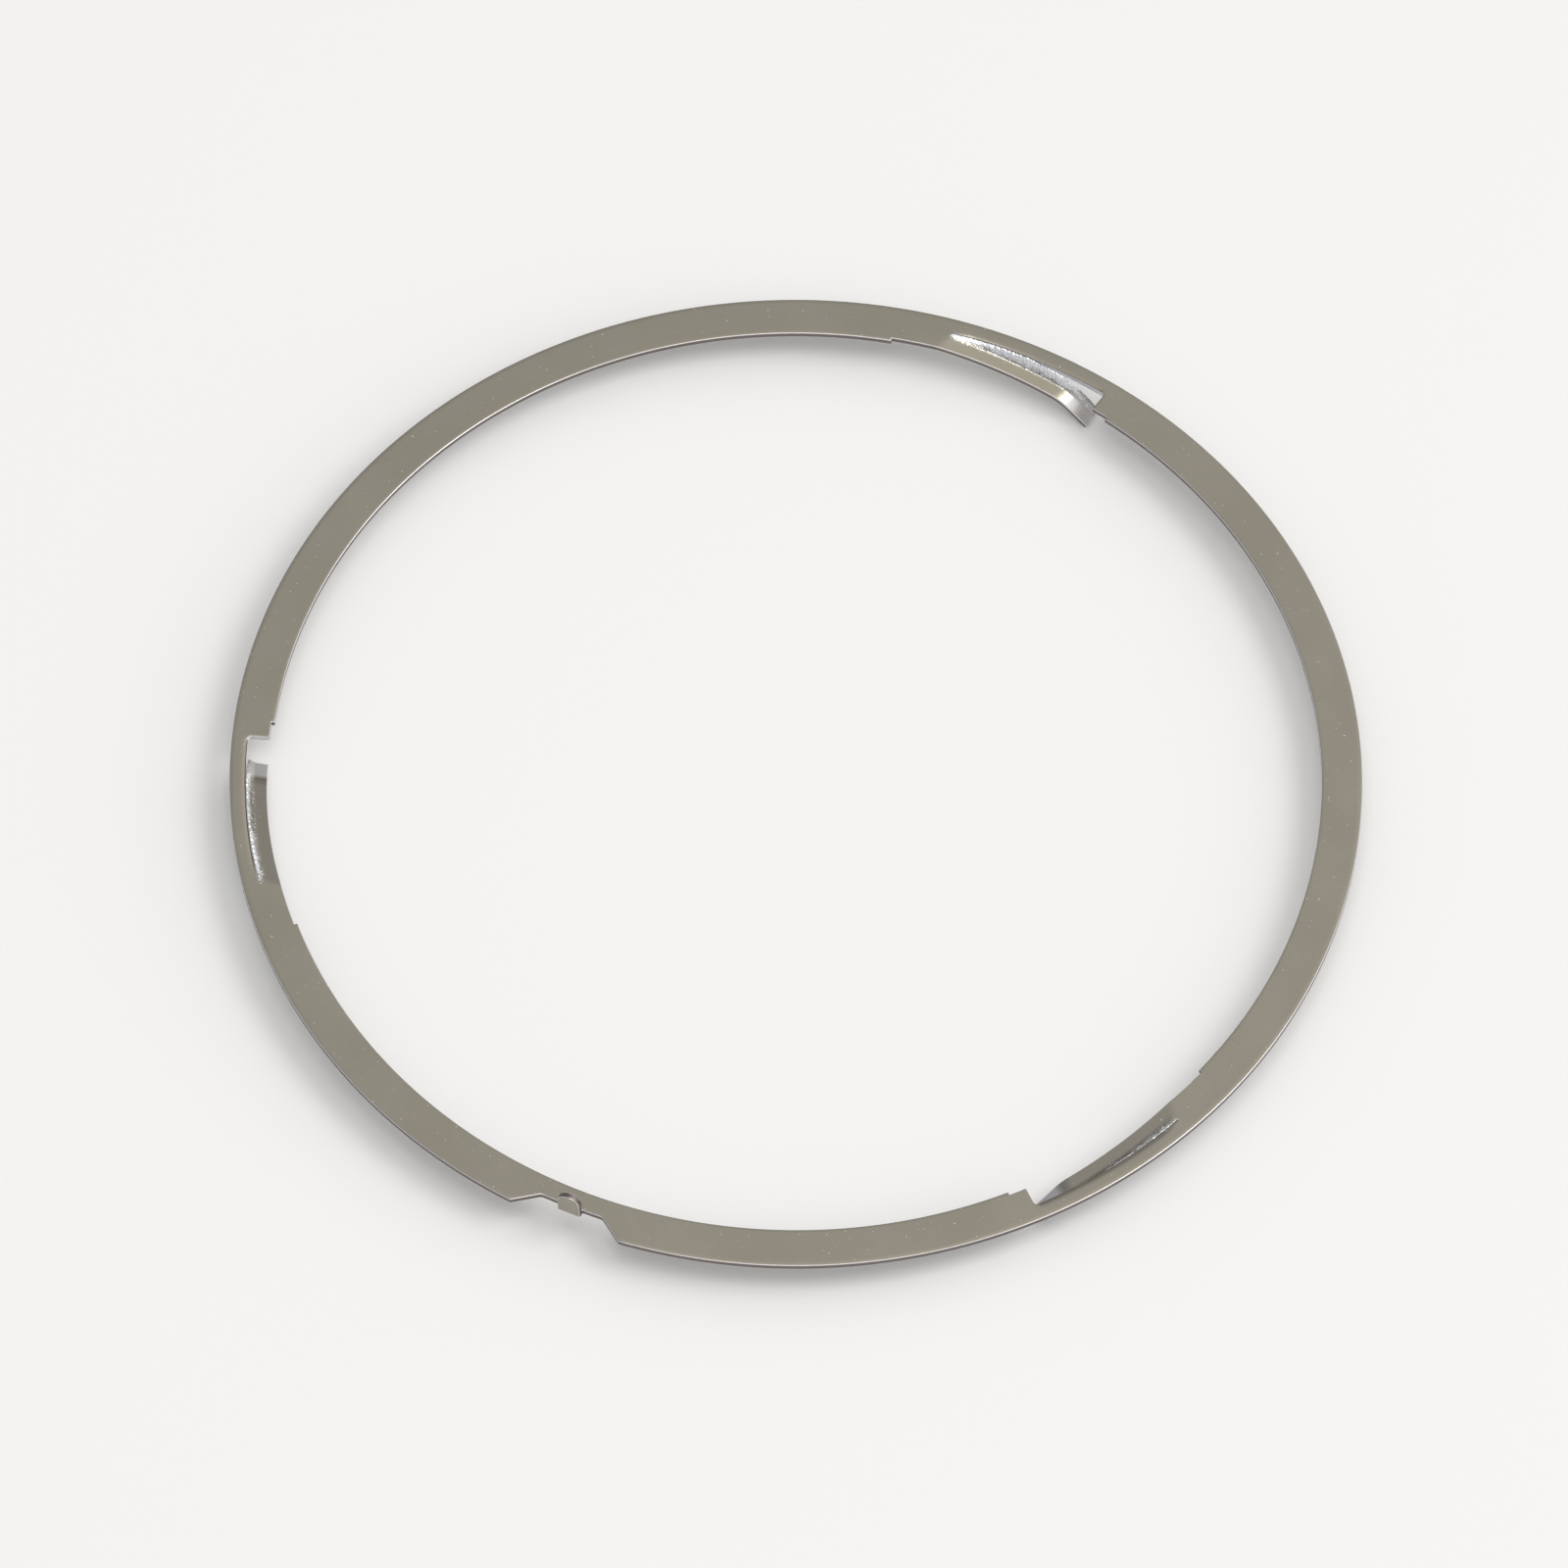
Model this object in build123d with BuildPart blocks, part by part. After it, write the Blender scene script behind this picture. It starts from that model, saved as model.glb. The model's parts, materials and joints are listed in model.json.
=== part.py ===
from build123d import *
from math import asin, cos, degrees, radians, sin, sqrt
import os

# Bezel click spring: one ring stamped from thin spring steel strip. It lies in a groove of a
# watch case, round the collar that the turning bezel runs on. Three tongues are lanced from
# its inner edge and bent down as the clicks, and a tab in its outer edge is folded up to stop
# it from turning.
# Frame: Z is the axis of the collar, +Z towards the side the tab stands on. The origin is on
# that face of the band, and the tab lies on -Y. All sizes are in millimetres and degrees.

# ---- driving dimensions -------------------------------------------------------------------
collar_diameter = 32.0  # inner edge of the band, which runs round the case's collar
band_width = 1.25
strip_thickness = 0.2

tongue_count = 3
tongue_width = 0.65
tongue_length = 5.26  # along the lanced arc, from root to slot end
tab_to_slot_end = 49.2  # angle from the tab to the nearest slot end
lance_gap = 0.03  # left between a bent tongue and the rail beside it
slot_corner_radius = 0.1

relief_depth = 0.1  # the inner edge steps back this far where a tongue was cut
relief_lead = 0.53  # length of the step past the slot end
relief_tail = 1.7  # length of the step past the root

crease_skew = 10.0  # the creases are turned this far from the line of the slot's end
leaf_angle = 8.0  # slope of the long straight leaf
root_bend_radius = 1.0  # bend radii are to the middle of the strip
tip_bend_radius = 0.95
facet_angle = 37.0  # slope of the click facet at the tip
facet_length = 0.9

notch_depth = 0.63
notch_mouth_width = 3.55
notch_floor_width = 2.0
notch_floor_radius = 0.3  # fillets between the notch's floor and its slopes

tab_width = 0.72
tab_height = 0.845  # above the band's upper face
tab_bend_inside_radius = 0.04
tab_root_depth = 0.3  # how far the tab's strip runs into the band

# ---- worked out from them -----------------------------------------------------------------
collar_radius = collar_diameter / 2
outer_radius = collar_radius + band_width
relief_radius = collar_radius + relief_depth
slot_radius = relief_radius + tongue_width
tongue_middle_radius = relief_radius + tongue_width / 2

root_angle = degrees(tongue_length / slot_radius)
relief_start = -degrees(relief_lead / relief_radius)
relief_arc = root_angle - relief_start + degrees(relief_tail / relief_radius)
first_slot_end = 270 + tab_to_slot_end

notch_bottom = outer_radius - notch_depth
overshoot = band_width  # how far cutting shapes run past what they cut

# Each tongue is drawn with its slot's end on the X axis. Its creases run along crease_line,
# and the strip runs out from the root at right angles to them, along run_line.
crease_line = Vector(1, 0).rotate(Axis.Z, -crease_skew)
run_line = crease_line.rotate(Axis.Z, -90)
root_corner = Vector(slot_radius, 0).rotate(Axis.Z, root_angle)
slot_end_middle = Vector(tongue_middle_radius, 0)

# The bent strip has the length it had in the flat, so the leaf takes what the bends leave.
flat_length = (slot_end_middle - root_corner).dot(run_line)
root_bend_length = radians(leaf_angle) * root_bend_radius
tip_bend_length = radians(facet_angle - leaf_angle) * tip_bend_radius
leaf_length = flat_length - root_bend_length - tip_bend_length - facet_length

# ---- flat shapes that the blank loses at each tongue --------------------------------------
with BuildSketch() as relief:
    with BuildLine():
        edge = CenterArc((0, 0), relief_radius, relief_start, relief_arc)
        inward = 1 - overshoot / relief_radius
        Polyline(edge @ 0, (edge @ 0) * inward, (edge @ 1) * inward, edge @ 1)
    make_face()

with BuildSketch() as window:
    with BuildLine():
        lanced = CenterArc((0, 0), slot_radius, 0, root_angle)
        slot_end = Vector(slot_radius - overshoot, 0)
        Polyline(lanced @ 0, slot_end, lanced @ 1 - crease_line * overshoot, lanced @ 1)
    make_face()
    fillet(window.vertices().sort_by(Axis.Y)[0:2].sort_by(Axis.X)[-1], slot_corner_radius)

# ---- notch in the outer edge, round the tab -----------------------------------------------
with BuildSketch() as notch:
    with BuildLine():
        half_floor = degrees(asin(notch_floor_width / 2 / notch_bottom))
        floor = CenterArc((0, 0), notch_bottom, 270 - half_floor, 2 * half_floor)
        mouth_y = -sqrt(outer_radius**2 - (notch_mouth_width / 2) ** 2)
        Polyline(
            floor @ 0,
            (-notch_mouth_width / 2, mouth_y),
            (-notch_mouth_width / 2, -outer_radius - notch_depth),
            (notch_mouth_width / 2, -outer_radius - notch_depth),
            (notch_mouth_width / 2, mouth_y),
            floor @ 1,
        )
    make_face()
    fillet(notch.vertices().group_by(Axis.Y)[-1], notch_floor_radius)

# ---- one tongue, bent down ----------------------------------------------------------------
# Its section stands along run_line, on a plane through the middle of the slot's end, and is
# drawn out along the creases. Then the ring's two arcs trim its sides. They bend down with the
# leaf, so they are drawn square to it, round the place that the ring's centre takes with it.
section_origin = slot_end_middle - run_line * flat_length
strip_plane = Plane(section_origin, x_dir=run_line, z_dir=run_line.cross(Vector(0, 0, 1)))
with BuildPart() as tongue:
    with BuildSketch(strip_plane):
        with BuildLine():
            root_bend = JernArc((0, -strip_thickness / 2), (1, 0), root_bend_radius, -leaf_angle)
            leaf = PolarLine(root_bend @ 1, leaf_length, direction=root_bend % 1)
            tip_bend = JernArc(leaf @ 1, leaf % 1, tip_bend_radius, leaf_angle - facet_angle)
            facet = PolarLine(tip_bend @ 1, facet_length + overshoot, direction=tip_bend % 1)
        trace(line_width=strip_thickness)
    extrude(amount=tongue_length / 2, both=True)
    centre_to_leaf = section_origin.dot(run_line) + root_bend_length
    leaf_line = run_line * cos(radians(leaf_angle)) - Vector(0, 0, sin(radians(leaf_angle)))
    bent_centre = (
        strip_plane.from_local_coords(root_bend @ 1)
        - leaf_line * centre_to_leaf
        - crease_line * section_origin.dot(crease_line)
    )
    with BuildSketch(Plane(bent_centre, x_dir=crease_line, z_dir=crease_line.cross(leaf_line))):
        Circle(slot_radius - lance_gap)
        Circle(relief_radius, mode=Mode.SUBTRACT)
    extrude(amount=tongue_length, both=True, mode=Mode.INTERSECT)
    # The slot's end line was square to the flat strip, and stays square to the facet.
    facet_line = run_line * cos(radians(facet_angle)) - Vector(0, 0, sin(radians(facet_angle)))
    tip_line = crease_line * sin(radians(crease_skew)) + facet_line * cos(radians(crease_skew))
    tip_middle = (facet @ 0) + (facet % 0) * facet_length
    split(bisect_by=Plane(strip_plane.from_local_coords(tip_middle), z_dir=tip_line), keep=Keep.BOTTOM)

# ---- locating tab, folded up at the notch's floor -----------------------------------------
with BuildPart() as tab:
    with BuildSketch(Plane.YZ):
        with BuildLine():
            middle_height = -strip_thickness / 2
            root = Line((tab_root_depth - notch_bottom, middle_height), (-notch_bottom, middle_height))
            fold = JernArc(root @ 1, root % 1, tab_bend_inside_radius + strip_thickness / 2, -90)
            PolarLine(fold @ 1, tab_height, direction=fold % 1)
        trace(line_width=strip_thickness)
    extrude(amount=tab_width / 2, both=True)
    # Its outline has straight sides and a half-round top.
    with BuildSketch(Plane.XZ.offset(notch_bottom - overshoot)):
        with Locations((0, tab_height - tab_width / 2)):
            Circle(tab_width / 2)
            Rectangle(tab_width, tab_height + strip_thickness, align=(Align.CENTER, Align.MAX))
    extrude(amount=2 * overshoot, mode=Mode.INTERSECT)

# ---- the whole spring ---------------------------------------------------------------------
with BuildPart() as click_spring:
    with BuildSketch(Plane.XY.offset(-strip_thickness)):
        Circle(outer_radius)
        Circle(collar_radius, mode=Mode.SUBTRACT)
        with PolarLocations(0, tongue_count, start_angle=first_slot_end):
            add(relief.sketch, mode=Mode.SUBTRACT)
            add(window.sketch, mode=Mode.SUBTRACT)
        add(notch.sketch, mode=Mode.SUBTRACT)
    extrude(amount=strip_thickness)
    add(tab.part)
    with PolarLocations(0, tongue_count, start_angle=first_slot_end):
        add(tongue.part)

click_spring.part.label = "click_spring"
os.makedirs("parts", exist_ok=True)
export_step(click_spring.part, "parts/click_spring.step")
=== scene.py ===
"""Bezel click spring: the finished look of one stamped spring steel ring.

The ring is made flat, as the real one is: a band spun round its axis, with its slots and notch,
its clicks and its tab all in one sheet. It gets the strip's thickness and worn edges, and then
the clicks are bent down and the tab is folded up. Lengths are in metres and angles in degrees.
"""

import json
from math import asin, atan2, cos, degrees, hypot, pi, radians, sin, sqrt

import bmesh
import bpy
from mathutils import Matrix, Vector, noise


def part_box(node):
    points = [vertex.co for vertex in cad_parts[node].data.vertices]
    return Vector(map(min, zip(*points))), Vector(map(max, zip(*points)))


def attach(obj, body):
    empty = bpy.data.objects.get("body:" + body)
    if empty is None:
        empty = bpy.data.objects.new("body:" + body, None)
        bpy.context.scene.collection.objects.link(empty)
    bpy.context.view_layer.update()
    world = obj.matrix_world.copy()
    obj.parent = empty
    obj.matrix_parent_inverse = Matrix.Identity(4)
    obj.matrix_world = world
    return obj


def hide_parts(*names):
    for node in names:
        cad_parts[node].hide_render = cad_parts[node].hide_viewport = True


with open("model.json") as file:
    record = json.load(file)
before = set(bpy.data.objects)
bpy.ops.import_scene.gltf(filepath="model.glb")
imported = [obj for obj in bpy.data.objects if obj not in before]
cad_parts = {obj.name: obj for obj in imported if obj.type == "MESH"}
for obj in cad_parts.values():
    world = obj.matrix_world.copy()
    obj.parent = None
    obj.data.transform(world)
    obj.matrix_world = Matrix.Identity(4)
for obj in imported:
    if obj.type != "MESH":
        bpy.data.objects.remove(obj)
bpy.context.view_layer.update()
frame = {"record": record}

MM = 0.001

# ---- the spring's sizes, as the frame has them ------------------------------------------------
LOW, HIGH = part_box("click_spring")
MOUNTS = {mount["name"]: mount for mount in frame["record"]["mounts"]}
COLLAR_RADIUS = MOUNTS["collar_bore"]["dims"]["r_mm"] * MM
OUTER_RADIUS = HIGH[0]
THICKNESS = MOUNTS["collar_bore"]["dims"]["length_mm"] * MM
TAB_HEIGHT = HIGH[2]

CLICKS = 3
RELIEF_RADIUS = COLLAR_RADIUS + 0.1 * MM
SLOT_RADIUS = RELIEF_RADIUS + 0.65 * MM
CLICK_RADIUS = SLOT_RADIUS - 0.03 * MM
SLOT_LENGTH = 5.26 * MM
FIRST_SLOT_END = 319.2
ROOT = degrees(SLOT_LENGTH / SLOT_RADIUS)  # angles on a click are counted from its slot's end
RELIEF_LEAD = degrees(0.53 * MM / RELIEF_RADIUS)
RELIEF_TAIL = degrees(1.7 * MM / RELIEF_RADIUS)
TIP_GAP = 0.06  # angle cut free at the click's tip

CREASE_SKEW = 10.0
LEAF_ANGLE = radians(8.0)
FACET_ANGLE = radians(37.0)
ROOT_BEND = 1.0 * MM
TIP_BEND = 0.95 * MM
FACET_LENGTH = 0.9 * MM

NOTCH_BOTTOM = OUTER_RADIUS - 0.63 * MM
NOTCH_MOUTH = 3.55 * MM
NOTCH_FLOOR = 2.0 * MM
NOTCH_FILLET = 0.3 * MM
TAB_WIDTH = 0.72 * MM
TAB_BEND = 0.14 * MM
TAB_ANGLE = 270.0
TAB_COLUMNS, TAB_ROWS, TAB_END_ROWS = 6, 20, 10

SLOT_CORNER = 0.1 * MM
RIM_ROUND = 0.03 * MM
LANCE_ROUND = 0.004 * MM
LIP_WIDTH = 0.22 * MM  # the click's outer margin, drawn up by the lance
TORN_WIDTH = 0.32 * MM  # the torn surface of that margin, which fades further in
TEAR_STRENGTH = (0.45, 1.0, 0.7)  # how badly each click is torn, from the first slot's end on
LIP_RISE = 0.30 * MM  # how far that margin is drawn up towards the rail
FACET_SPAN = 4.2  # angle at the click's tip that is smoother, and whose colour is painted brighter as a painted reflection
TORN_GRAIN, TORN_HEIGHT = 0.035 * MM, 0.016 * MM
JAG_PITCH, JAG_DEPTH = 0.05 * MM, 0.07 * MM  # the click's ragged tip
MARKS = ("cut_edge", "burnish_and_reflection", "torn")  # what the material reads, from 0 to 1 at each vertex

CLICK_ROWS = 18
RAIL_STEPS = (0, 0.03, 0.07, 0.13, 0.22, 0.34)  # rows of the band outside a slot, in millimetres
TIP_PITCH, CLICK_PITCH, LEAD_PITCH, TAIL_PITCH, PLAIN_PITCH = 0.1, 0.12, 0.2, 0.3, 0.5
ROLL_WIDTH, ROLL_DEPTH = 0.13 * MM, 0.045 * MM  # the rail's edge, dragged down by the lance


def polar(radius, angle):
    return Vector((radius * cos(radians(angle)), radius * sin(radians(angle)), 0))


def angle_of(point):
    return degrees(atan2(point.y, point.x)) % 360


def toward(azimuth, elevation):
    """Unit vector from the ring towards a place round it, with azimuth 0 on -Y."""
    a, e = radians(azimuth), radians(elevation)
    return Vector((sin(a) * cos(e), -cos(a) * cos(e), sin(e)))


def smooth(share):
    """Eases a share that runs from 0 to 1, and holds it there."""
    share = min(1, max(0, share))
    return share * share * (3 - 2 * share)


# ---- camera -----------------------------------------------------------------------------------
def make_camera():
    back, distance = toward(23.6, 58.5), 0.5175
    turn = back.to_track_quat("Z", "Y").to_matrix()
    sideways, upwards = 0.36 * MM, 0.30 * MM  # the ring sits this far off the middle of the frame
    target = -turn.col[0] * sideways - turn.col[1] * upwards
    place = back * distance
    roll = Matrix.Rotation(radians(0.24), 3, "Z")
    camera = bpy.data.objects.new("camera", bpy.data.cameras.new("camera"))
    camera.data.sensor_width = 36
    camera.data.lens = 390.3
    camera.data.clip_start, camera.data.clip_end = 0.01, 10
    turned = (place - target).to_track_quat("Z", "Y").to_matrix() @ roll
    camera.matrix_world = Matrix.Translation(place) @ turned.to_4x4()
    bpy.context.scene.collection.objects.link(camera)
    bpy.context.scene.camera = camera


# ---- the flat sheet ---------------------------------------------------------------------------
FLAT, WALL = 0.9, 0.1  # a face lies flat above the first, and stands on edge below the second


def spin_stops():
    """Angles where the band's outline turns, each with the pitch of the strip that leads up to it."""
    stops = []
    for k in range(CLICKS):
        slot_end = FIRST_SLOT_END - 360 + 360 / CLICKS * k
        stops.append((slot_end, LEAD_PITCH))
        stops.append((slot_end + TIP_GAP, TIP_PITCH))
        stops.append((slot_end + ROOT, CLICK_PITCH))
        stops.append((slot_end + ROOT + RELIEF_TAIL, TAIL_PITCH))
        stops.append((slot_end - RELIEF_LEAD + 360 / CLICKS, PLAIN_PITCH))
    half_tab = degrees(asin(TAB_WIDTH / 2 / NOTCH_BOTTOM))
    half_mouth = degrees(asin(NOTCH_MOUTH / 2 / OUTER_RADIUS))
    stops.append((TAB_ANGLE - 360 - half_mouth, PLAIN_PITCH))
    for k in range(-TAB_COLUMNS, TAB_COLUMNS + 1):
        stops.append((TAB_ANGLE - 360 + half_tab * k / TAB_COLUMNS, TAIL_PITCH))
    stops.append((TAB_ANGLE - 360 + half_mouth, CLICK_PITCH))
    return sorted(((angle + 360) % 360, pitch) for angle, pitch in stops)


def notch_radius(across):
    """Radius of the outer edge, at an angle from the tab."""
    mouth = Vector((NOTCH_MOUTH / 2, -sqrt(OUTER_RADIUS**2 - (NOTCH_MOUTH / 2) ** 2)))
    floor = Vector((NOTCH_FLOOR / 2, -sqrt(NOTCH_BOTTOM**2 - (NOTCH_FLOOR / 2) ** 2)))
    slope = mouth - floor
    ray = Vector((sin(radians(across)), -cos(radians(across))))
    on_slope = floor.cross(slope) / ray.cross(slope)
    rise = on_slope - NOTCH_BOTTOM
    fillet = 0.12 * NOTCH_FILLET
    return min(OUTER_RADIUS, NOTCH_BOTTOM + (rise + hypot(rise, fillet)) / 2)


def click_angle(angle):
    """Angle from the end of the nearest slot, which is negative on the band before it."""
    return (angle - FIRST_SLOT_END + RELIEF_LEAD) % (360 / CLICKS) - RELIEF_LEAD


def flat_sheet():
    """The blank in the flat: a band with reliefs, lanced clicks, a notch and the tab's strip."""
    bm = bmesh.new()
    on_click = bm.verts.layers.float.new("on_click")
    click_width = CLICK_RADIUS - RELIEF_RADIUS
    radii = [COLLAR_RADIUS, RELIEF_RADIUS]
    radii += [RELIEF_RADIUS + click_width * k / CLICK_ROWS for k in range(1, CLICK_ROWS + 1)]
    radii += [SLOT_RADIUS + step * MM for step in RAIL_STEPS]
    radii.append(OUTER_RADIUS)
    stops = spin_stops()
    here = stops[-1][0] - 360
    points = [bm.verts.new(polar(radius, here)) for radius in radii]
    line = points + [bm.edges.new(pair) for pair in zip(points, points[1:])]
    for angle, pitch in stops:
        turn = angle - here
        steps = max(1, round(turn / pitch))
        spun = bmesh.ops.spin(bm, geom=line, cent=(0, 0, 0), axis=(0, 0, 1), dvec=(0, 0, 0),
                              angle=radians(turn), steps=steps, use_merge=False)
        line = spun["geom_last"]
        here = angle
    bmesh.ops.remove_doubles(bm, verts=bm.verts, dist=0.001 * MM)

    cut = []
    for face in bm.faces:
        middle = face.calc_center_median()
        radius, along = middle.length, click_angle(angle_of(middle))
        if along > ROOT + RELIEF_TAIL:
            continue
        in_slot = 0 < along < ROOT and CLICK_RADIUS < radius < SLOT_RADIUS
        at_tip = 0 < along < TIP_GAP and radius < SLOT_RADIUS
        if radius < RELIEF_RADIUS or in_slot or at_tip:
            cut.append(face)
        elif along > 0 and radius < CLICK_RADIUS:
            for vert in face.verts:
                vert[on_click] = 1
    bmesh.ops.delete(bm, geom=cut, context="FACES")
    for vert in bm.verts:
        shape_slot_corner(vert, on_click)
        shape_notch(vert)
    add_tab_strip(bm)
    bmesh.ops.recalc_face_normals(bm, faces=bm.faces)
    if sum(face.normal.z for face in bm.faces) < 0:
        bmesh.ops.reverse_faces(bm, faces=bm.faces)
    return bm


def shape_slot_corner(vert, on_click):
    """Rounds the outer corner of a slot, and the corner of the click that was cut from it."""
    radius, along = vert.co.length, click_angle(angle_of(vert.co))
    if not (-0.01 < along < 1 and radius > SLOT_RADIUS - SLOT_CORNER * 2):
        return
    is_click = vert[on_click] > 0.5
    edge, start = (CLICK_RADIUS, TIP_GAP) if is_click else (SLOT_RADIUS, 0)
    u = radians(along - start) * radius
    v = edge - radius
    tiny = 0.002 * MM
    if max(u, v) > SLOT_CORNER or min(abs(u), abs(v)) > tiny or min(u, v) < -tiny:
        return
    phi = pi / 4 * (1 - max(u, v) / SLOT_CORNER)
    near, far = SLOT_CORNER * (1 - cos(phi)), SLOT_CORNER * (1 - sin(phi))
    u, v = (far, near) if u > v else (near, far)
    vert.co = polar(edge - v, angle_of(vert.co) - along + start + degrees(u / edge))


def shape_notch(vert):
    """Draws the band's outer half in to the notch's edge."""
    across = abs(angle_of(vert.co) - TAB_ANGLE)
    radius = vert.co.length
    rooted = COLLAR_RADIUS + 0.3 * MM  # what lies inside this radius stays
    if across > 10 or radius < rooted:
        return
    share = (notch_radius(across) - rooted) / (OUTER_RADIUS - rooted)
    vert.co *= (rooted + (radius - rooted) * share) / radius


def add_tab_strip(bm):
    """Runs a strip out from the notch's floor, as long as the folded tab, with a half-round end."""
    half = TAB_WIDTH / 2
    edges = [edge for edge in bm.edges if edge.is_boundary
             and all(abs(vert.co.x) < half + 0.002 * MM and vert.co.y < -NOTCH_BOTTOM + 0.01 * MM
                     for vert in edge.verts)]
    fold = pi / 2 * TAB_BEND
    straight = fold + TAB_HEIGHT - half - TAB_BEND + THICKNESS / 2
    for k in range(1, TAB_ROWS + 1):
        out = straight * k / TAB_ROWS
        new = bmesh.ops.extrude_edge_only(bm, edges=edges)["geom"]
        for vert in new:
            if isinstance(vert, bmesh.types.BMVert):
                vert.co.y = -NOTCH_BOTTOM - out
        edges = [edge for edge in new if isinstance(edge, bmesh.types.BMEdge)]
        edges = [edge for edge in edges if abs(edge.verts[0].co.y - edge.verts[1].co.y) < 1e-9]
    end = []
    for k in range(1, TAB_END_ROWS + 1):
        new = bmesh.ops.extrude_edge_only(bm, edges=edges)["geom"]
        moved = [vert for vert in new if isinstance(vert, bmesh.types.BMVert)]
        edges = [edge for edge in new if isinstance(edge, bmesh.types.BMEdge)
                 and all(vert in moved for vert in edge.verts)]
        end += [(vert, vert.co.x / half, k / TAB_END_ROWS) for vert in moved]
    for vert, u, v in end:  # the square end is drawn in to a half disc
        vert.co.x = half * u * sqrt(1 - v * v / 2)
        vert.co.y = -NOTCH_BOTTOM - straight - half * v * sqrt(1 - u * u / 2)
    bmesh.ops.remove_doubles(bm, verts=bm.verts, dist=0.001 * MM)


# ---- thickness, worn edges and bends ----------------------------------------------------------
def give_thickness(bm):
    """Turns the sheet into a strip whose upper face is at zero height."""
    upper = bm.faces[:]
    lower = bmesh.ops.extrude_face_region(bm, geom=upper, use_keep_orig=True)["geom"]
    moved = [vert for vert in lower if isinstance(vert, bmesh.types.BMVert)]
    bmesh.ops.translate(bm, verts=moved, vec=(0, 0, -THICKNESS))
    bmesh.ops.recalc_face_normals(bm, faces=bm.faces)


def outline(bm, lanced):
    """Edges between a flat face and an edge wall, either those of the lanced clicks or the rest."""
    found = []
    for edge in bm.edges:
        if len(edge.link_faces) != 2:
            continue
        slopes = sorted(abs(face.normal.z) for face in edge.link_faces)
        if slopes[0] > WALL or slopes[1] < FLAT:
            continue
        middle = (edge.verts[0].co + edge.verts[1].co) / 2
        along = click_angle(angle_of(middle))
        radius = hypot(middle.x, middle.y)
        on_slot = RELIEF_RADIUS + 0.005 * MM < radius < SLOT_RADIUS + 0.02 * MM
        if (on_slot and -0.05 < along < ROOT + 0.05) == lanced:
            found.append(edge)
    return found


def round_edges(bm, edges, radius, segments):
    """Rounds edges without a clamp, since the narrowest cell would hold every rounding to nothing.

    At the tab's round end the cells are narrower than the rounding, and faces cut each other there.
    """
    bmesh.ops.bevel(bm, geom=edges, offset=radius, offset_type="OFFSET", segments=segments,
                    profile=0.5, affect="EDGES", clamp_overlap=False, material=-1)


def bend_path(run, bends):
    """Point and slope of a bent strip's middle line, (across, down, slope), after a length of run."""
    across = down = slope = 0.0
    for length, radius in bends:
        step = min(run, length)
        turned = slope + (step / radius if radius else 0)
        if radius:
            across += radius * (sin(turned) - sin(slope))
            down += radius * (cos(slope) - cos(turned))
        else:
            across += step * cos(slope)
            down += step * sin(slope)
        slope = turned
        run -= step
        if run <= 0:
            break
    return across, down, slope


def click_bends():
    """Root bend, leaf, tip bend and facet, as (length, radius). The leaf takes what is left."""
    middle = (RELIEF_RADIUS + SLOT_RADIUS) / 2
    flat = SLOT_RADIUS * sin(radians(ROOT + CREASE_SKEW)) - middle * sin(radians(CREASE_SKEW))
    root, tip = LEAF_ANGLE * ROOT_BEND, (FACET_ANGLE - LEAF_ANGLE) * TIP_BEND
    return [(root, ROOT_BEND), (flat - root - tip - FACET_LENGTH, 0), (tip, TIP_BEND), (1, 0)]


def bend_click(vert, bends, lip):
    """Bends a click down about creases that run askew to its slot's end, and draws up its lip."""
    angle = angle_of(vert.co)
    along = click_angle(angle)
    radius = hypot(vert.co.x, vert.co.y)
    run = SLOT_RADIUS * sin(radians(ROOT + CREASE_SKEW)) - radius * sin(radians(along + CREASE_SKEW))
    if run <= 0:
        return
    across, down, slope = bend_path(run, bends)
    off = vert.co.z + THICKNESS / 2
    run_line = polar(1, angle - along - CREASE_SKEW - 90)
    vert.co += run_line * (across - run + off * sin(slope))
    vert.co.z = -THICKNESS / 2 - down + off * cos(slope) + min(down, LIP_RISE) * lip


def fold_tab(vert):
    """Folds the tab's strip up at the notch's floor."""
    out = -vert.co.y - NOTCH_BOTTOM
    if out <= 0 or abs(vert.co.x) > TAB_WIDTH / 2 + 0.01 * MM:
        return
    across, up, slope = bend_path(out, [(pi / 2 * TAB_BEND, TAB_BEND), (1, 0)])
    off = vert.co.z + THICKNESS / 2
    vert.co.y = -NOTCH_BOTTOM - across + off * sin(slope)
    vert.co.z = -THICKNESS / 2 + up + off * cos(slope)


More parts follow.
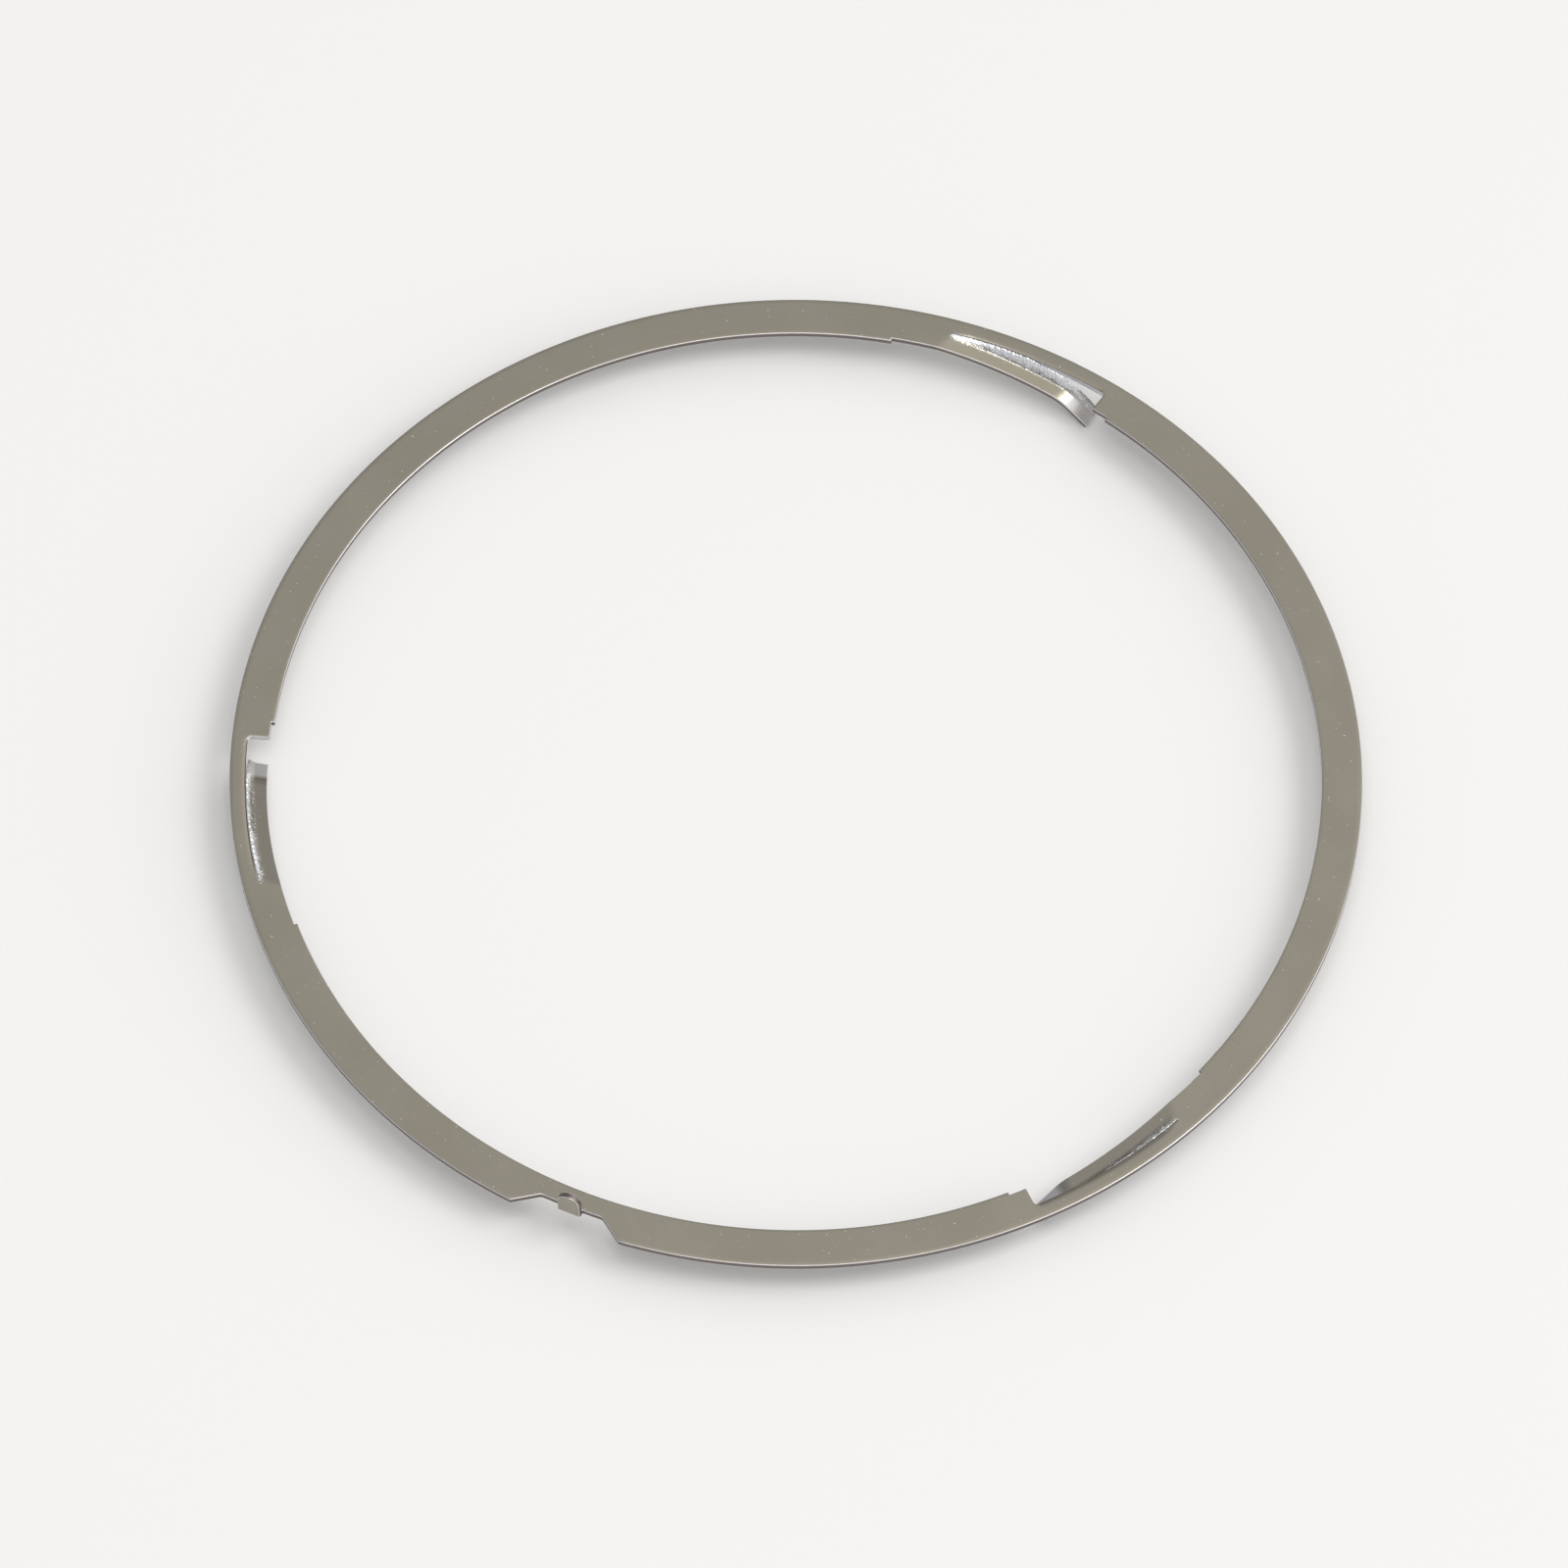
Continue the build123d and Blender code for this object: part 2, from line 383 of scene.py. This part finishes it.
def tear(vert, on_click, marks):
    """Marks and roughens what the lance cut: the click's outer margin, its tip and the slot's walls.

    Returns how far up the lip the vertex lies, from 0 to 1.
    """
    radius, along = hypot(vert.co.x, vert.co.y), click_angle(angle_of(vert.co))
    upper = vert.co.z > -THICKNESS / 2
    depth = min(-vert.co.z, THICKNESS + vert.co.z)
    vert[marks["cut_edge"]] = min(1, max(0, depth / RIM_ROUND))
    near_slot = RELIEF_RADIUS + 0.01 * MM < radius < SLOT_RADIUS + ROLL_WIDTH
    if not (near_slot and -0.2 < along < ROOT + 0.6):
        return 0
    if vert[on_click] < 0.5:
        inside = along < 0.01 or radius < SLOT_RADIUS + 0.004 * MM
        # The slot's walls are painted pale: partly real burnish from the cut, partly a painted
        # reflection of the bright floor they face.
        vert[marks["burnish_and_reflection"]] = 1.0 if inside and depth > LANCE_ROUND / 2 else 0.0
        # The wall's own top row lies a hair inside the slot's radius and isn't rolled with the
        # rest, which leaves a folded fin beside the rolled edge.
        beyond = (radius - SLOT_RADIUS) / ROLL_WIDTH
        if upper and 0 <= beyond < 1 and along > 0:
            ends = smooth(along / 0.8) * smooth((ROOT - along) / 3)
            vert.co.z -= ROLL_DEPTH * ends * (1 - beyond) ** 2.5
        if along < ROOT or beyond > 0:
            return 0
    which = round((angle_of(vert.co) - along - FIRST_SLOT_END) / (360 / CLICKS)) % CLICKS
    margin = smooth((radius - CLICK_RADIUS + LIP_WIDTH) / LIP_WIDTH)
    frayed = smooth((radius - CLICK_RADIUS + TORN_WIDTH) / TORN_WIDTH)
    fade = smooth((ROOT + 0.5 - along) / 1.2) * TEAR_STRENGTH[which]
    calm = 0.35 + 0.65 * smooth((along - 2.2) / 2.5)
    place = vert.co / TORN_GRAIN
    ragged = noise.noise(Vector((place.x * 0.5, place.y * 0.5, 0)))
    # The click's tip facet is painted paler: a painted reflection of the bright card it faces, fading
    # off the lip.
    vert[marks["burnish_and_reflection"]] = 0.55 * smooth((FACET_SPAN - along) / 1.0) * (1 - 0.6 * margin)
    vert[marks["torn"]] = frayed * fade * calm
    if upper:
        vert.co.z += TORN_HEIGHT * noise.noise(place) * margin * fade * calm
    if along < TIP_GAP + 0.6:
        jag = JAG_DEPTH * max(0, noise.noise(Vector((radius / JAG_PITCH, which, 3.0))) + 0.2)
        vert.co += polar(1, angle_of(vert.co) + 90) * jag * (1 - smooth((along - TIP_GAP) / 0.54))
    settled = 0.5 + 0.5 * TEAR_STRENGTH[which]
    return margin * settled * (0.6 + 0.4 * smooth(along / 5)) * (1 + 0.25 * ragged * calm)


def make_spring():
    bm = flat_sheet()
    give_thickness(bm)
    round_edges(bm, outline(bm, lanced=False), RIM_ROUND, 4)
    round_edges(bm, outline(bm, lanced=True), LANCE_ROUND, 2)
    for name in MARKS:
        bm.verts.layers.float.new(name)
    on_click = bm.verts.layers.float["on_click"]
    marks = {name: bm.verts.layers.float[name] for name in MARKS}
    bends = click_bends()
    for vert in bm.verts:
        lip = tear(vert, on_click, marks)
        if vert[on_click] > 0.5:
            bend_click(vert, bends, lip)
        elif vert.co.y < -NOTCH_BOTTOM:
            fold_tab(vert)
    bm.verts.layers.float.remove(on_click)
    mesh = bpy.data.meshes.new("spring_steel_ring")
    bm.to_mesh(mesh)
    bm.free()
    mesh.shade_smooth()
    mesh.set_sharp_from_angle(angle=radians(40))
    ring = bpy.data.objects.new("click_spring_ring", mesh)
    bpy.context.scene.collection.objects.link(ring)
    return ring


ring = make_spring()


# ---- material ---------------------------------------------------------------------------------
class Value:
    """A number in a shader: an expression on values adds the Math nodes that it needs."""

    def __init__(self, finish, socket):
        self.finish, self.socket = finish, socket

    def math(self, operation, other, flip=False):
        first, second = (other, self) if flip else (self, other)
        node = self.finish.add("Math", {"operation": operation}, i0=first, i1=second)
        return Value(self.finish, node.outputs[0])

    def __add__(self, other):
        return self.math("ADD", other)

    def __radd__(self, other):
        return self.math("ADD", other, flip=True)

    def __sub__(self, other):
        return self.math("SUBTRACT", other)

    def __rsub__(self, other):
        return self.math("SUBTRACT", other, flip=True)

    def __mul__(self, other):
        return self.math("MULTIPLY", other)

    def __rmul__(self, other):
        return self.math("MULTIPLY", other, flip=True)

    def ramp(self, low, high):
        """0 below low and 1 above high, smooth between."""
        settings = {"interpolation_type": "SMOOTHSTEP"}
        node = self.finish.add("MapRange", settings, Value=self, From_Min=low, From_Max=high)
        return Value(self.finish, node.outputs["Result"])


class Finish:
    """A material being made, with one method that adds a node of any type."""

    def __init__(self, name, owner=None):
        self.material = owner or bpy.data.materials.new(name)
        self.material.use_nodes = True
        self.tree = self.material.node_tree
        self.tree.nodes.clear()

    def add(self, kind, settings=None, **sockets):
        node = self.tree.nodes.new("ShaderNode" + kind)
        for key, value in (settings or {}).items():
            setattr(node, key, value)
        for key, value in sockets.items():
            name = key.replace("_", " ")
            numbered = name[0] == "i" and name[1:].isdigit()
            socket = node.inputs[int(name[1:]) if numbered else name]
            if isinstance(value, Value):
                value = value.socket
            if isinstance(value, bpy.types.NodeSocket):
                self.tree.links.new(value, socket)
            else:
                socket.default_value = value
        return node

    def value(self, socket):
        return Value(self, socket)

    def mark(self, name):
        return self.value(self.add("Attribute", {"attribute_name": name}).outputs["Fac"])

    def noise(self, where, scale, detail=2.0, roughness=0.5):
        node = self.add("TexNoise", Vector=where, Scale=scale, Detail=detail, Roughness=roughness)
        return self.value(node.outputs["Fac"])

    def mix(self, share, first, second):
        node = self.add("Mix", {"data_type": "RGBA"}, i0=share, i6=first, i7=second)
        return node.outputs[2]


def spring_steel():
    finish = Finish("spring_steel")
    where = finish.add("TexCoord").outputs["Object"]
    cut_edge = finish.mark("cut_edge")
    burnish_and_reflection = finish.mark("burnish_and_reflection")
    torn = finish.mark("torn")

    # the strip was rolled one way, so its grain and its finest scratches run that way
    rolled = finish.add("Mapping", Vector=where, Rotation=(0, 0, 0.4), Scale=(0.12, 1, 1)).outputs[0]
    grain = finish.noise(rolled, 26000, 3, 0.6)
    cloud = finish.noise(where, 260, 3, 0.55)
    specks = finish.noise(where, 9000, 1, 0.5).ramp(0.73, 0.78)
    glitter = finish.noise(where, 30000, 2, 0.7)

    sheared_and_shaded = cut_edge.ramp(0.55, 1.0) * (1 - burnish_and_reflection)
    base = finish.mix(cloud.ramp(0.3, 0.7), (0.318, 0.297, 0.243, 1), (0.342, 0.320, 0.266, 1))
    base = finish.mix(grain.ramp(0.2, 0.8) * 0.35, base, (0.28, 0.26, 0.215, 1))
    base = finish.mix(specks * 0.6, base, (0.75, 0.74, 0.72, 1))
    # The sheared edge walls are painted dark: partly the rough fracture's own duller colour, partly
    # painted shade of the shadowed floor that they face.
    base = finish.mix(sheared_and_shaded * 0.8, base, (0.15, 0.12, 0.12, 1))
    # The rounded rim is painted near white: a painted highlight along the rounding, partly the polish of
    # a worn edge.
    rim_wear_and_highlight = cut_edge.ramp(0.03, 0.25) * (1 - cut_edge.ramp(0.6, 0.85))
    base = finish.mix(rim_wear_and_highlight * 0.9, base, (0.86, 0.85, 0.89, 1))
    # Burnished walls and tip facets are painted pale: partly real burnish, partly a painted reflection
    # of the bright surroundings.
    base = finish.mix(burnish_and_reflection, base, (0.78, 0.77, 0.80, 1))
    # The torn margin gets painted glints: near-white specks in its colour where its burrs catch the key
    # light, on a torn surface that is real.
    ragged = (torn + (glitter - 0.5) * 2.2 + (finish.noise(where, 5000, 2) - 0.5) * 0.9).ramp(0.42, 0.56)
    base = finish.mix(ragged * torn.ramp(0.0, 0.12), base, (0.95, 0.96, 0.98, 1))
    roughness = 0.27 + (cloud - 0.5) * 0.06 + sheared_and_shaded * 0.16 + burnish_and_reflection * 0.2

    height = grain * 0.25 + torn * glitter * 6
    bump = finish.add("Bump", Height=height, Strength=0.35, Distance=0.00001)
    shader = finish.add("BsdfPrincipled", Base_Color=base, Metallic=1.0, Roughness=roughness,
                        Normal=bump.outputs[0])
    finish.add("OutputMaterial", Surface=shader.outputs[0])
    return finish.material


def paper_floor():
    finish = Finish("pale_floor")
    paper = finish.add("BsdfDiffuse", Color=(0.76, 0.755, 0.74, 1))
    finish.add("OutputMaterial", Surface=paper.outputs[0])
    return finish.material


# ---- floor and light --------------------------------------------------------------------------
def make_floor():
    bm = bmesh.new()
    bmesh.ops.create_grid(bm, x_segments=1, y_segments=1, size=2.0)
    bmesh.ops.translate(bm, verts=bm.verts, vec=(0, 0, LOW[2] - 0.002 * MM))
    mesh = bpy.data.meshes.new("floor")
    bm.to_mesh(mesh)
    bm.free()
    mesh.materials.append(paper_floor())
    floor = bpy.data.objects.new("floor", mesh)
    bpy.context.scene.collection.objects.link(floor)


KEY_AZIMUTH, KEY_ELEVATION = 106, 57


def add_lamp(name, azimuth, elevation, distance, size, power, colour):
    back = toward(azimuth, elevation)
    lamp = bpy.data.objects.new(name, bpy.data.lights.new(name, "AREA"))
    lamp.data.shape = "DISK"
    lamp.data.size = size
    lamp.data.energy = power
    lamp.data.color = colour
    turn = back.to_track_quat("Z", "Y").to_matrix().to_4x4()
    lamp.matrix_world = Matrix.Translation(back * distance) @ turn
    bpy.context.scene.collection.objects.link(lamp)


def make_light():
    """A studio that is brightest round its key lamp and a low card, with a softbox overhead."""
    world = bpy.data.worlds.new("studio")
    bpy.context.scene.world = world
    world.use_nodes = True
    room = Finish("studio", world)
    way = room.add("TexCoord").outputs["Generated"]
    key = toward(KEY_AZIMUTH, KEY_ELEVATION)
    near_key = room.add("VectorMath", {"operation": "DOT_PRODUCT"}, i0=way, i1=tuple(key))
    glow = room.value(near_key.outputs["Value"]).ramp(0.35, 1.0)
    light = room.mix(glow, (0.45, 0.46, 0.49, 1), (1.25, 1.23, 1.18, 1))
    card = toward(98, 33)
    near_card = room.add("VectorMath", {"operation": "DOT_PRODUCT"}, i0=way, i1=tuple(card))
    card_glow = room.value(near_card.outputs["Value"]).ramp(0.84, 0.97)
    light = room.mix(card_glow, light, (1.6, 1.62, 1.74, 1))
    shade = room.add("Background", Color=light, Strength=1.0)
    room.add("OutputWorld", Surface=shade.outputs[0])
    add_lamp("key", KEY_AZIMUTH, KEY_ELEVATION, 0.5, 0.26, 0.66, (1.0, 0.985, 0.96))
    add_lamp("overhead", 18, 76, 0.5, 0.23, 0.40, (1.0, 0.99, 1.0))


ring.data.materials.append(spring_steel())
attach(ring, "root")
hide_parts("click_spring")
make_floor()
make_light()
make_camera()
bpy.context.scene.view_settings.view_transform = "Standard"
